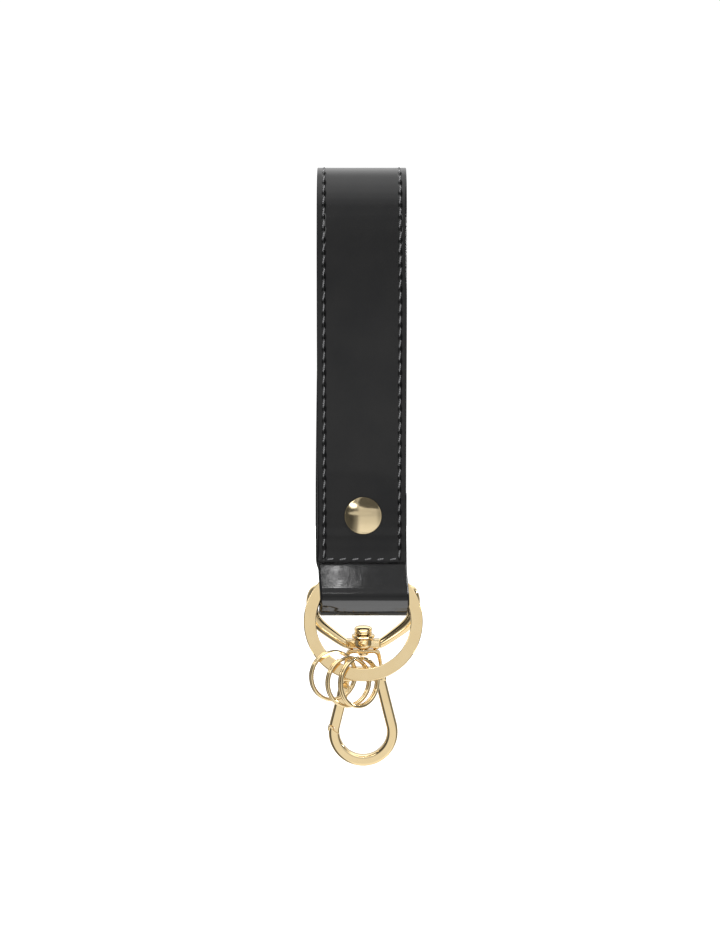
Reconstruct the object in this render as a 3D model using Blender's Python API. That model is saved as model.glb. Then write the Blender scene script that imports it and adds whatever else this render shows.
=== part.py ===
"""Wristlet keychain: a stitched leather hand loop that holds a large flat split ring, three small
split rings threaded on it, and a swivel frame with a teardrop snap hook.

Frame: metres, +Z up, the strap hanging. The origin is the inside of the hand loop at its top.
+X runs across the strap to the right, and the front of the strap faces -Y.
"""
import math

import bmesh
import bpy
from mathutils import Vector

MM = 0.001

# strap, in millimetres
STRAP_WIDTH = 26.2
OUTER_THICKNESS = 1.3
LINING_THICKNESS = 1.1
GLUE_LINE = 0.1
PATH_STEP = 2.4
FRONT_END_Z = -114.2
BACK_LINING_END_Z = -108.0
STITCH_INSET = 2.0
THREAD_WIDTH = 0.5
THREAD_HEIGHT = 0.25

# rivet through the stacked layers
RIVET_Z = -100.6
RIVET_HOLE_R = 1.7
RIVET_POST_R = 1.4
CAP_R = 5.55
CAP_HEIGHT = 1.9
CAP_BACK_R = 4.5
CAP_BACK_HEIGHT = 1.3
STACK_FRONT_Y = -4.0
STACK_BACK_Y = 2.6

# large flat split ring
RING_CENTRE = (0.0, -5.49, -131.6)
RING_LEAN_DEG = 14.0
RING_OUTER_R = 17.5
RING_INNER_R = 13.9
RING_TURN_THICKNESS = 1.0
RING_TURN_SPACING = 1.2
RING_CHAMFER = 0.25
RING_JOG_DEG = 22.0
RING_JOG_AT_DEG = 90.0

# small round-wire split rings
SMALL_OUTER_R = 7.5
SMALL_WIRE_HALF_WIDTH = 0.52
SMALL_WIRE_HALF_HEIGHT = 0.42
SMALL_TURN_SPACING = 0.94
SMALL_JOG_DEG = 36.0
SMALL_JOG_AT_DEG = 118.0
# for each ring: angle round the large ring from its lowest point, distance of the two centres,
# offset to the front, twist off the large ring's plane, and the direction of that twist
SMALL_RINGS = {
    "small_split_ring_1": (28.9, 18.05, 0.0, 28.3, -27.4),
    "small_split_ring_2": (13.7, 18.15, 0.15, 33.1, -19.3),
    "small_split_ring_3": (4.0, 17.85, 0.7, 41.6, -14.0),
}

# swivel frame, measured down from the axis of its top bar
BAR_Z = -122.4
FRAME_LEAN_DEG = 5.0
BAR_R = 1.7
BASE_TOP = -14.95
BASE_BOTTOM = -18.0
BASE_HALF_WIDTH = 4.9
BASE_HALF_DEPTH = 1.6
HUB_R = 2.9
POST_HOLE_R = 1.3
POST_R = 1.1
HEAD_R = 2.7
HEAD_TOP = -11.1
HEAD_BOTTOM = -13.55
WASHER_R = 3.5
WASHER_TOP = -13.7
WASHER_BOTTOM = -14.8
PEEN_R = 1.7
PEEN_TOP = -19.4
PEEN_BOTTOM = -20.1

# snap hook, measured down from the top of its yoke
HOOK_TOP = -18.3
HOOK_HALF_DEPTH = 1.65
HOOK_BAR_HALF = 1.65
HOOK_BEVEL = 0.55
YOKE_THICKNESS = 1.0
YOKE_TOP_HALF = 4.95
YOKE_FOOT_HALF = 7.25
CROSSBAR_TOP = -5.4
CROSSBAR_BOTTOM = -9.5
BULB_CENTRE_Z = -25.0
BULB_AXIS_R = 8.75
BULB_TAPER_DEG = 13.9
SEAM_POINT = (-8.45, -24.5)
SEAM_DROP_DEG = 37.4
SEAM_GAP = 0.3

# gate and what it holds
PIN_DEPTH = -11.7
PIN_R = 0.45
PIN_HOLE_R = 0.62
PIN_HALF_LENGTH = 1.6
TONGUE_HALF = 0.7
TONGUE_R = 1.3
SLOT_HALF = 0.95
SLOT_DEPTH = 2.1
BORE_R = 0.95
BORE_DEPTH = 7.6
SPRING_R = 0.62
SPRING_WIRE_R = 0.14
SPRING_TURNS = 6
PLUNGER_R = 0.72
PLUNGER_LENGTH = 1.7

ARC_STEP_DEG = 10.0

MATERIALS = {
    "black_patent_leather": ((0.012, 0.012, 0.013, 1.0), 0.16, 0.0),
    "black_lining_leather": ((0.020, 0.019, 0.019, 1.0), 0.45, 0.0),
    "black_thread": ((0.015, 0.015, 0.016, 1.0), 0.60, 0.0),
    "light_gold_plate": ((0.83, 0.64, 0.36, 1.0), 0.12, 1.0),
    "satin_gold_plate": ((0.78, 0.61, 0.35, 1.0), 0.25, 1.0),
    "spring_steel": ((0.55, 0.55, 0.56, 1.0), 0.30, 1.0),
}


# ---------------------------------------------------------------- helpers


def clear_scene():
    for obj in list(bpy.data.objects):
        bpy.data.objects.remove(obj, do_unlink=True)


def material(name):
    """The named Principled BSDF material, made the first time that it is asked for."""
    found = bpy.data.materials.get(name)
    if found:
        return found
    colour, roughness, metallic = MATERIALS[name]
    made = bpy.data.materials.new(name)
    made.use_nodes = True
    shader = made.node_tree.nodes["Principled BSDF"]
    shader.inputs["Base Color"].default_value = colour
    shader.inputs["Roughness"].default_value = roughness
    shader.inputs["Metallic"].default_value = metallic
    made.diffuse_color = colour
    return made


def empty(name, location, rotation, parent=None):
    """A joint axis: an empty that a moving piece hangs from. Its location is in millimetres."""
    made = bpy.data.objects.new(name, None)
    bpy.context.scene.collection.objects.link(made)
    made.parent = parent
    made.location = Vector(location) * MM
    made.rotation_euler = rotation
    return made


def add(name, bm, finish=None, parent=None, location=(0, 0, 0), rotation=(0, 0, 0), sharp_deg=35):
    """Turn a bmesh in millimetres into an object in metres, with its faces pointing out."""
    bmesh.ops.scale(bm, vec=(MM, MM, MM), verts=bm.verts)
    bmesh.ops.recalc_face_normals(bm, faces=bm.faces)
    mesh = bpy.data.meshes.new(name)
    bm.to_mesh(mesh)
    bm.free()
    mesh.shade_smooth()
    mesh.set_sharp_from_angle(angle=math.radians(sharp_deg))
    made = bpy.data.objects.new(name, mesh)
    bpy.context.scene.collection.objects.link(made)
    if finish:
        mesh.materials.append(material(finish))
    made.parent = parent
    made.location = Vector(location) * MM
    made.rotation_euler = rotation
    return made


def guide(obj):
    """Mark an object as a tool that shapes another one and isn't a piece itself."""
    obj.hide_render = True
    obj.display_type = "WIRE"
    return obj


def combine(target, tool, operation):
    """Cut a guide out of a piece, or join it on."""
    change = target.modifiers.new(tool.name, "BOOLEAN")
    change.operation = operation
    change.object = guide(tool)
    change.solver = "EXACT"


def bevel(obj, width, segments=2, angle_deg=40):
    change = obj.modifiers.new("edge", "BEVEL")
    change.width = width * MM
    change.segments = segments
    change.limit_method = "ANGLE"
    change.angle_limit = math.radians(angle_deg)


def skin(rings, closed=False):
    """A closed body through rings of points that correspond, capped unless it closes on itself."""
    bm = bmesh.new()
    loops = [[bm.verts.new(point) for point in ring] for ring in rings]
    pairs = list(zip(loops, loops[1:]))
    if closed:
        pairs.append((loops[-1], loops[0]))
    for one, two in pairs:
        for k in range(len(one)):
            after = (k + 1) % len(one)
            bm.faces.new((one[k], one[after], two[after], two[k]))
    if not closed:
        bm.faces.new(list(reversed(loops[0])))
        bm.faces.new(loops[-1])
    return bm


def turned(profile, steps=32):
    """A body of revolution round Z from (radius, height) points, ends on the axis left out."""
    rings = []
    for radius, height in profile:
        turn = [2 * math.pi * k / steps for k in range(steps)]
        rings.append([(radius * math.cos(a), radius * math.sin(a), height) for a in turn])
    return skin(rings)


def plate(outline, half_depth):
    """An outline in X and Z, as thick as twice half_depth along Y."""
    front = [(x, -half_depth, z) for x, z in outline]
    back = [(x, half_depth, z) for x, z in outline]
    return skin([front, back])


def arc(centre, radius, start_deg, end_deg, step_deg=ARC_STEP_DEG):
    """Points along an arc in a plane, both ends included."""
    count = max(1, math.ceil(abs(end_deg - start_deg) / step_deg))
    angles = [math.radians(start_deg + (end_deg - start_deg) * k / count) for k in range(count + 1)]
    return [(centre[0] + radius * math.cos(a), centre[1] + radius * math.sin(a)) for a in angles]


def catmull(before, start, end, after, t):
    """A point on the Catmull-Rom curve from start to end."""
    return 0.5 * (
        2 * start
        + (end - before) * t
        + (2 * before - 5 * start + 4 * end - after) * t * t
        + (3 * start - before - 3 * end + after) * t * t * t
    )


def smooth_path(points, step):
    """Evenly spaced points on a smooth curve through the given points."""
    fine = []
    points = [Vector(p) for p in points]
    padded = [points[0] * 2 - points[1]] + points + [points[-1] * 2 - points[-2]]
    for k in range(1, len(padded) - 2):
        for i in range(24):
            fine.append(catmull(padded[k - 1], padded[k], padded[k + 1], padded[k + 2], i / 24))
    fine.append(points[-1])
    along = [0.0]
    for one, two in zip(fine, fine[1:]):
        along.append(along[-1] + (two - one).length)
    count = max(2, round(along[-1] / step))
    path = []
    at = 0
    for k in range(count + 1):
        want = along[-1] * k / count
        while at < len(along) - 2 and along[at + 1] < want:
            at += 1
        part = (want - along[at]) / (along[at + 1] - along[at])
        path.append(fine[at].lerp(fine[at + 1], part))
    return path


def side_normals(path):
    """For each point of a path in (Y, Z), the unit normal on its left as it runs."""
    normals = []
    for k in range(len(path)):
        run = path[min(k + 1, len(path) - 1)] - path[max(k - 1, 0)]
        run.normalize()
        normals.append(Vector((-run.y, run.x)))
    return normals


def strip(stretch, near, far, centre_x, width):
    """A strip of material between two offsets from points and normals in (Y, Z), width across X."""
    rings = []
    left = centre_x - width / 2
    right = centre_x + width / 2
    for point, normal in stretch:
        inside = point + normal * near
        outside = point + normal * far
        rings.append(
            [
                (left, inside.x, inside.y),
                (right, inside.x, inside.y),
                (right, outside.x, outside.y),
                (left, outside.x, outside.y),
            ]
        )
    return skin(rings)


# ---------------------------------------------------------------- strap


def hand_loop_points():
    """The inner face of the outer leather, as (Y, Z), from the front end over the top to the back."""
    front = [
        (-5.46, FRONT_END_Z),
        (-4.02, -110.2),
        (-2.84, -106.8),
        (-2.70, -104.0),
        (-2.70, RIVET_Z),
        (-2.70, -97.0),
        (-2.80, -93.5),
        (-3.20, -88.5),
        (-4.40, -80.0),
        (-6.90, -64.0),
        (-9.10, -47.0),
        (-10.4, -31.0),
        (-10.8, -18.0),
        (-9.90, -8.6),
        (-7.00, -2.3),
    ]
    top = [(-3.3, 0.7), (0.0, 1.2), (3.2, 0.3)]
    back = [
        (6.30, -3.2),
        (7.90, -9.2),
        (8.30, -18.0),
        (7.90, -31.0),
        (6.80, -47.0),
        (5.10, -64.0),
        (3.30, -80.0),
        (1.80, -89.0),
        (1.33, -95.0),
        (1.30, -98.0),
        (1.30, RIVET_Z),
        (1.30, -105.0),
        (1.42, BACK_LINING_END_Z),
    ]
    return front + top + back


def fold_points():
    """The same face carried on: down the back, round the hardware, and up behind the front panel."""
    down = [(1.75, -113.0), (2.05, -118.0), (2.10, -123.0), (1.80, -126.2)]
    bottom = [(0.30, -128.2), (-2.00, -128.75), (-4.20, -128.5), (-5.60, -127.4)]
    lean = math.tan(math.radians(RING_LEAN_DEG))
    clear = (RING_TURN_THICKNESS + RING_TURN_SPACING) / 2 + 0.35
    reach = RING_CENTRE[1] - clear / math.cos(math.radians(RING_LEAN_DEG))
    up = [(reach + lean * (z - RING_CENTRE[2]), z) for z in (-125.2, -120.0, -114.6)]
    tuck = [(-1.25, -110.0), (-0.15, -106.8), (0.0, -104.0), (0.0, RIVET_Z), (0.0, -94.0)]
    return down + bottom + up + tuck


def rivet_drill(name):
    """A long cutter along Y for the rivet's hole."""
    bm = turned([(RIVET_HOLE_R, -12.0), (RIVET_HOLE_R, 12.0)], steps=20)
    return add(name, bm, location=(0, 0, RIVET_Z), rotation=(math.pi / 2, 0, 0))


def strap_stretches():
    """Points and normals along the whole outer strap, and the part of them on the hand loop."""
    path = smooth_path(hand_loop_points() + fold_points(), PATH_STEP)
    whole = list(zip(path, side_normals(path)))
    on_back = [k for k, p in enumerate(path) if p.x > 0 and p.y < BACK_LINING_END_Z]
    return whole, whole[: on_back[0]]


def make_strap():
    whole, loop = strap_stretches()
    outer = strip(whole, 0.0, OUTER_THICKNESS, 0.0, STRAP_WIDTH)
    strap = add("strap_outer", outer, "black_patent_leather")
    combine(strap, rivet_drill("drill_outer"), "DIFFERENCE")
    inner = strip(loop, -GLUE_LINE - LINING_THICKNESS, -GLUE_LINE, 0.0, STRAP_WIDTH)
    lining = add("strap_lining", inner, "black_lining_leather")
    combine(lining, rivet_drill("drill_lining"), "DIFFERENCE")


def make_threads():
    """Two rows along the loop's edges, and the row across the front panel's end between them."""
    loop = strap_stretches()[1]
    near = OUTER_THICKNESS + GLUE_LINE
    far = near + THREAD_HEIGHT
    side = STRAP_WIDTH / 2 - STITCH_INSET
    for name, x in (("thread_row_left", -side), ("thread_row_right", side)):
        add(name, strip(loop[1:-1], near, far, x, THREAD_WIDTH), "black_thread")
    (tip, normal), (start, _) = loop[0], loop[1]
    end = [(tip.lerp(start, part), normal) for part in (0.66, 0.86)]
    across = 2 * side + THREAD_WIDTH
    add("thread_row_end", strip(end, near, far, 0.0, across), "black_thread")


# ---------------------------------------------------------------- rivet


def cap_profile(radius, height):
    """A shallow dome with a rounded rim, with a socket for the post in its flat underside."""
    rim = 0.5
    socket = [(RIVET_POST_R + 0.2, 0.0), (radius - 0.15, 0.0)]
    edge = arc((radius - rim, rim), rim, -35, 55, 22.5)
    crown = []
    for k in range(1, 6):
        part = 1 - k / 6
        crown.append(((radius - rim) * part + 0.1, height - (height - 1.6 * rim) * part**2))
    return socket + edge + crown + [(0.12, height)]


def make_cap(name, radius, height, y, facing):
    """A rivet cap whose underside lies on the leather at y. facing is -1 for the front."""
    bm = turned([(0.12, 0.45), (RIVET_POST_R + 0.2, 0.45)] + cap_profile(radius, height))
    tilt = -facing * math.pi / 2
    add(name, bm, "satin_gold_plate", location=(0, y, RIVET_Z), rotation=(tilt, 0, 0))


def make_rivet():
    make_cap("rivet_cap_front", CAP_R, CAP_HEIGHT, STACK_FRONT_Y - GLUE_LINE, -1)
    make_cap("rivet_cap_back", CAP_BACK_R, CAP_BACK_HEIGHT, STACK_BACK_Y + GLUE_LINE, 1)
    reach = 0.3
    front = STACK_FRONT_Y - GLUE_LINE - reach
    back = STACK_BACK_Y + GLUE_LINE + reach
    half = (back - front) / 2
    bm = turned([(RIVET_POST_R, -half), (RIVET_POST_R, half)], steps=20)
    place = (0, (front + back) / 2, RIVET_Z)
    add("rivet_post", bm, "satin_gold_plate", location=place, rotation=(math.pi / 2, 0, 0))


# ---------------------------------------------------------------- split rings


def coil(section, mean_r, spacing, jog_deg, jog_at_deg, step_deg):
    """Two touching turns with a jog from one to the other, both ends stopping beside the jog."""
    rings = []
    start = jog_deg + 2.0
    stop = 718.0
    count = round((stop - start) / step_deg)
    for k in range(count + 1):
        turn = start + (stop - start) * k / count
        part = min(1.0, max(0.0, (turn - 360.0) / jog_deg))
        lift = spacing * (part * part * (3 - 2 * part) - 0.5)
        a = math.radians(turn + jog_at_deg - jog_deg / 2)
        ring = []
        for out, axial in section:
            r = mean_r + out
            ring.append((r * math.cos(a), r * math.sin(a), axial + lift))
        rings.append(ring)
    return skin(rings)


def chamfered_section(half_width, half_height, chamfer):
    w, h, c = half_width, half_height, chamfer
    right = [(w, -h + c), (w, h - c), (w - c, h)]
    left = [(c - w, h), (-w, h - c), (-w, c - h)]
    return right + left + [(c - w, -h), (w - c, -h)]


def make_rings():
    upright = math.radians(90 - RING_LEAN_DEG)
    plane = empty("large_ring_plane", RING_CENTRE, (upright, 0, 0))
    half_band = (RING_OUTER_R - RING_INNER_R) / 2
    section = chamfered_section(half_band, RING_TURN_THICKNESS / 2, RING_CHAMFER)
    mean_r = (RING_OUTER_R + RING_INNER_R) / 2
    bm = coil(section, mean_r, RING_TURN_SPACING, RING_JOG_DEG, RING_JOG_AT_DEG, 7.5)
    add("large_split_ring", bm, "light_gold_plate", parent=plane)
    wire = []
    for c, s in arc((0, 0), 1.0, 0, 315, 45):
        wire.append((SMALL_WIRE_HALF_WIDTH * c, SMALL_WIRE_HALF_HEIGHT * s))
    for name, (angle, distance, forward, twist, toward) in SMALL_RINGS.items():
        bm = coil(
            wire,
            SMALL_OUTER_R - SMALL_WIRE_HALF_WIDTH,
            SMALL_TURN_SPACING,
            SMALL_JOG_DEG,
            SMALL_JOG_AT_DEG,
            10.0,
        )
        a = math.radians(angle)
        place = (-distance * math.sin(a), -distance * math.cos(a), forward)
        turn = (0, math.radians(twist), math.radians(toward))
        add(name, bm, "light_gold_plate", parent=plane, location=place, rotation=turn)


# ---------------------------------------------------------------- swivel frame


def frame_path():
    """Half of the frame's wire, as (X, Z, radius), from the base block up to the top bar."""
    return [
        (3.6, -16.9, 1.40),
        (5.6, -16.3, 1.45),
        (9.4, -13.7, 1.62),
        (13.1, -10.75, 1.80),
        (14.75, -8.2, 1.78),
        (15.2, -5.0, 1.72),
        (15.2, -2.9, BAR_R),
        (14.3, -0.85, BAR_R),
        (12.3, 0.0, BAR_R),
    ]


def wire_loop(points, sides=12):
    """A tube with its own radius at each (X, Z, radius) point of an open path in X and Z."""
    rings = []
    places = [Vector((x, 0, z)) for x, z, _ in points]
    for k, (x, z, radius) in enumerate(points):
        run = places[min(k + 1, len(points) - 1)] - places[max(k - 1, 0)]
        run.normalize()
        across = Vector((-run.z, 0, run.x))
        ring = []
        for i in range(sides):
            a = 2 * math.pi * i / sides
            ring.append(places[k] + across * radius * math.cos(a) + Vector((0, radius * math.sin(a), 0)))
        rings.append(ring)
    return skin(rings)


def make_swivel_frame(axis):
    half = frame_path()
    rounded = smooth_path([(x, z, r) for x, z, r in half], 1.6)
    right = [(p.x, p.y, p.z) for p in rounded]
    left = [(-x, z, r) for x, z, r in reversed(right)]
    frame = add("swivel_frame", wire_loop(right + left), "light_gold_plate", parent=axis)
    block_outline = [
        (-BASE_HALF_WIDTH, BASE_TOP - 0.2),
        (-BASE_HALF_WIDTH, BASE_BOTTOM + 0.25),
        (BASE_HALF_WIDTH, BASE_BOTTOM + 0.25),
        (BASE_HALF_WIDTH, BASE_TOP - 0.2),
    ]
    block = add("base_block", plate(block_outline, BASE_HALF_DEPTH), parent=axis)
    bevel(block, 0.5)
    combine(frame, block, "UNION")
    hub_profile = [
        (1.9, BASE_BOTTOM),
        (2.5, BASE_BOTTOM + 0.45),
        (HUB_R, BASE_BOTTOM + 1.3),
        (HUB_R, BASE_TOP - 0.3),
        (HUB_R - 0.3, BASE_TOP),
    ]
    hub = add("base_hub", turned(hub_profile, steps=24), parent=axis)
    combine(frame, hub, "UNION")
    drill = add("drill_hub", turned([(POST_HOLE_R, -24.0), (POST_HOLE_R, -10.0)], 20), parent=axis)
    combine(frame, drill, "DIFFERENCE")


def make_swivel_post(axis):
    """The post turns with the hook: domed head, shank through the hub, and a peened tail."""
    dome = [(0.15, HEAD_TOP)]
    dome += [(HEAD_R * s, HEAD_TOP - 0.9 + 0.9 * c) for s, c in ((0.45, 0.9), (0.75, 0.66), (0.93, 0.37))]
    profile = dome + [
        (HEAD_R, HEAD_TOP - 0.95),
        (HEAD_R, HEAD_BOTTOM + 0.15),
        (HEAD_R - 0.15, HEAD_BOTTOM),
        (POST_R, HEAD_BOTTOM),
        (POST_R, PEEN_TOP),
        (PEEN_R, PEEN_TOP),
        (PEEN_R - 0.2, PEEN_BOTTOM),
        (0.15, PEEN_BOTTOM - 0.1),
    ]
    drop = (0, 0, -HOOK_TOP)
    add("swivel_post", turned(profile, 28), "light_gold_plate", parent=axis, location=drop)
    washer = [
        (WASHER_R - 0.3, WASHER_TOP),
        (WASHER_R, (WASHER_TOP + WASHER_BOTTOM) / 2),
        (WASHER_R - 0.3, WASHER_BOTTOM),
        (POST_HOLE_R, WASHER_BOTTOM),
        (POST_HOLE_R, WASHER_TOP),
    ]
    turns = [2 * math.pi * k / 28 for k in range(28)]
    rings = [[(r * math.cos(a), r * math.sin(a), z) for r, z in washer] for a in turns]
    bm = skin(rings, closed=True)
    add("swivel_washer", bm, "light_gold_plate", parent=axis, location=drop)


# ---------------------------------------------------------------- snap hook


def rounded_corners(corners, steps=3):
    """An outline through (x, z, radius) corners, each rounded by an arc of the given radius."""
    outline = []
    count = len(corners)
    for k, (x, z, radius) in enumerate(corners):
        here = Vector((x, z))
        back = (Vector(corners[k - 1][:2]) - here).normalized()
        ahead = (Vector(corners[(k + 1) % count][:2]) - here).normalized()
        half = back.angle(ahead) / 2
        start = here + back * (radius / math.tan(half))
        end = here + ahead * (radius / math.tan(half))
        middle = here + (back + ahead).normalized() * (radius / math.sin(half))
        for i in range(steps + 1):
            spoke = (start - middle).lerp(end - middle, i / steps).normalized()
            outline.append(middle + spoke * radius)
    return outline


def yoke():
    """The closed eye on top of the hook, round the post's tail, with the crossbar as its foot."""
    outer = rounded_corners(
        [
            (-YOKE_TOP_HALF, 0.0, 1.7),
            (YOKE_TOP_HALF, 0.0, 1.7),
            (YOKE_FOOT_HALF, CROSSBAR_BOTTOM, 0.6),
            (-YOKE_FOOT_HALF, CROSSBAR_BOTTOM, 0.6),
        ]
    )
    inner = rounded_corners(
        [
            (-YOKE_TOP_HALF + YOKE_THICKNESS, -YOKE_THICKNESS, 1.0),
            (YOKE_TOP_HALF - YOKE_THICKNESS, -YOKE_THICKNESS, 1.0),
            (YOKE_TOP_HALF - 0.1, CROSSBAR_TOP, 0.6),
            (-YOKE_TOP_HALF + 0.1, CROSSBAR_TOP, 0.6),
        ]
    )
    d = HOOK_HALF_DEPTH
    rings = [
        [(o.x, -d, o.y), (o.x, d, o.y), (i.x, d, i.y), (i.x, -d, i.y)]
        for o, i in zip(outer, inner)
    ]
    return skin(rings, closed=True)


def teardrop_axis(from_z, left=False):
    """The hook bar's axis: straight down from from_z, then round the bulb to the far side."""
    taper = math.radians(BULB_TAPER_DEG)
    touch = (BULB_AXIS_R * math.cos(taper), BULB_CENTRE_Z + BULB_AXIS_R * math.sin(taper))
    top = (touch[0] - (from_z - touch[1]) * math.tan(taper), from_z)
    round_part = arc((0, BULB_CENTRE_Z), BULB_AXIS_R, BULB_TAPER_DEG, -200)
    points = [top] + round_part
    if left:
        points = [(-x, z) for x, z in points]
    return [Vector(p) for p in points]


def bar_outline(path, half_width, seam_offset):
    """The outline of a bar that follows a path and ends on the seam."""
    normals = side_normals(path)
    one = up_to_seam([p + n * half_width for p, n in zip(path, normals)], seam_offset)
    two = up_to_seam([p - n * half_width for p, n in zip(path, normals)], seam_offset)
    return one + list(reversed(two))


def up_to_seam(side, offset):
    """The stretch of an outline's side that ends on the seam between gate and nose."""
    drop = math.radians(SEAM_DROP_DEG)
    normal = Vector((math.sin(drop), math.cos(drop)))
    level = Vector(SEAM_POINT).dot(normal) + offset
    kept = [side[0]]
    for one, two in zip(side, side[1:]):
        before = one.dot(normal) - level
        after = two.dot(normal) - level
        if before * after < 0 and two.x < SEAM_POINT[0] / 2:
            kept.append(one.lerp(two, before / (before - after)))
            break
        kept.append(two)
    return kept


def pin_place():
    """Where the gate's pin crosses the left-hand bar's axis, as (X, Z)."""
    top = teardrop_axis(PIN_DEPTH, left=True)[0]
    return top.x, top.y


def make_hook_body(axis):
    path = teardrop_axis(CROSSBAR_TOP - 1.6)
    bm = plate(bar_outline(path, HOOK_BAR_HALF, -SEAM_GAP / 2), HOOK_HALF_DEPTH)
    hook = add("hook_body", bm, "light_gold_plate", parent=axis)
    bevel(hook, HOOK_BEVEL)
    eye = add("hook_yoke", yoke(), parent=axis)
    bevel(eye, 0.22)
    combine(hook, eye, "UNION")
    x, z = pin_place()
    tip = arc((x, z), TONGUE_R, 180, 360, 20)
    tongue_outline = [(x - TONGUE_R + 0.3, CROSSBAR_BOTTOM + 0.6)] + tip
    tongue_outline += [(x + TONGUE_R + 0.6, CROSSBAR_BOTTOM + 0.6)]
    tongue = add("gate_tongue", plate(tongue_outline, TONGUE_HALF), parent=axis)
    combine(hook, tongue, "UNION")
    hole = turned([(PIN_HOLE_R, -4.0), (PIN_HOLE_R, 4.0)], 16)
    drill = add("drill_tongue", hole, parent=axis, location=(x, 0, z), rotation=(math.pi / 2, 0, 0))
    combine(hook, drill, "DIFFERENCE")
    hole = turned([(POST_R + 0.12, -2.5), (POST_R + 0.12, 2.5)], 20)
    drill = add("drill_yoke", hole, parent=axis)
    combine(hook, drill, "DIFFERENCE")


def gate_axis_tilt():
    """How far the gate's own axis leans off the hook's, as a turn about Y."""
    return math.radians(BULB_TAPER_DEG)


def make_gate(axis):
    """The gate's origin is on its pin."""
    x, z = pin_place()
    path = teardrop_axis(PIN_DEPTH, left=True)
    sides = bar_outline(path, HOOK_BAR_HALF, SEAM_GAP / 2)
    start = math.degrees(math.atan2(sides[-1].y - z, sides[-1].x - x))
    cap = arc((x, z), HOOK_BAR_HALF, start, start + 180, 20)[1:-1]
    if sum(p[1] for p in cap) / len(cap) < z:
        cap = arc((x, z), HOOK_BAR_HALF, start, start - 180, 20)[1:-1]
    bm = plate([tuple(p) for p in sides] + cap, HOOK_HALF_DEPTH)
    bmesh.ops.translate(bm, vec=(-x, 0, -z), verts=bm.verts)
    pivot = empty("gate_axis", (x, 0, z), (0, 0, 0), parent=axis)
    gate = add("gate", bm, "light_gold_plate", parent=pivot)
    bevel(gate, 0.45)
    lean = (0, gate_axis_tilt(), 0)
    slot_outline = [(-3.0, 3.0), (-3.0, -SLOT_DEPTH), (3.0, -SLOT_DEPTH), (3.0, 3.0)]
    slot = add("gate_slot", plate(slot_outline, SLOT_HALF), parent=pivot, rotation=lean)
    combine(gate, slot, "DIFFERENCE")
    hole = turned([(PIN_HOLE_R, -4.0), (PIN_HOLE_R, 4.0)], 16)
    drill = add("drill_gate", hole, parent=pivot, rotation=(math.pi / 2, 0, 0))
    combine(gate, drill, "DIFFERENCE")
    bore = turned([(BORE_R, -BORE_DEPTH), (BORE_R, -SLOT_DEPTH + 0.5)], 16)
    combine(gate, add("gate_bore", bore, parent=pivot, rotation=lean), "DIFFERENCE")
    pin = turned([(PIN_R, -PIN_HALF_LENGTH), (PIN_R, PIN_HALF_LENGTH)], 16)
    add("gate_pin", pin, "light_gold_plate", parent=axis, location=(x, 0, z), rotation=(math.pi / 2, 0, 0))
    plunger_top = -TONGUE_R - 0.25
    plunger = turned(
        [
            (PLUNGER_R * 0.35, plunger_top),
            (PLUNGER_R * 0.85, plunger_top - 0.25),
            (PLUNGER_R, plunger_top - 0.6),
            (PLUNGER_R, plunger_top - PLUNGER_LENGTH),
        ],
        16,
    )
    add("gate_plunger", plunger, "spring_steel", parent=pivot, rotation=lean)
    top = plunger_top - PLUNGER_LENGTH - 0.3
    length = BORE_DEPTH + top - 0.3
    rings = []
    for k in range(SPRING_TURNS * 10 + 1):
        a = 2 * math.pi * k / 10
        height = top - length * k / (SPRING_TURNS * 10)
        ring = []
        for c, s in arc((0, 0), SPRING_WIRE_R, 0, 300, 60):
            r = SPRING_R + c
            ring.append((r * math.cos(a), r * math.sin(a), height + s))
        rings.append(ring)
    add("gate_spring", skin(rings), "spring_steel", parent=pivot, rotation=lean)


def main():
    clear_scene()
    make_strap()
    make_threads()
    make_rivet()
    make_rings()
    bar = empty("bar_axis", (0, 0, BAR_Z), (math.radians(FRAME_LEAN_DEG), 0, 0))
    make_swivel_frame(bar)
    swivel = empty("swivel_axis", (0, 0, HOOK_TOP), (0, 0, 0), parent=bar)
    make_swivel_post(swivel)
    make_hook_body(swivel)
    make_gate(swivel)


main()
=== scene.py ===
"""Looks of the wristlet keychain: patent leather loop, gold rings and snap hook, built round the CAD frame.

Lengths in the making are in millimetres, in the CAD's frame: +Z up, +X to the right, front at -Y.
The stage, the lights and the camera are placed in metres.
"""
import math
import random

import bmesh
import bpy
from mathutils import Matrix, Vector


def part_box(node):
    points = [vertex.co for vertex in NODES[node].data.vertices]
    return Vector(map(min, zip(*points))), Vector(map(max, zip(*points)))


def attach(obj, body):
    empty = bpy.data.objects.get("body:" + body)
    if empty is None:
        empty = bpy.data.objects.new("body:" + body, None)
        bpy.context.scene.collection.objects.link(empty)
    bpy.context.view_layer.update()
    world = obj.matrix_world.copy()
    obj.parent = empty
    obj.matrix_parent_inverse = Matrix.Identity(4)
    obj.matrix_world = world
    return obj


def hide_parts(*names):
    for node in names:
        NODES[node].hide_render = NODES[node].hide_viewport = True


MM = 0.001

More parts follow.
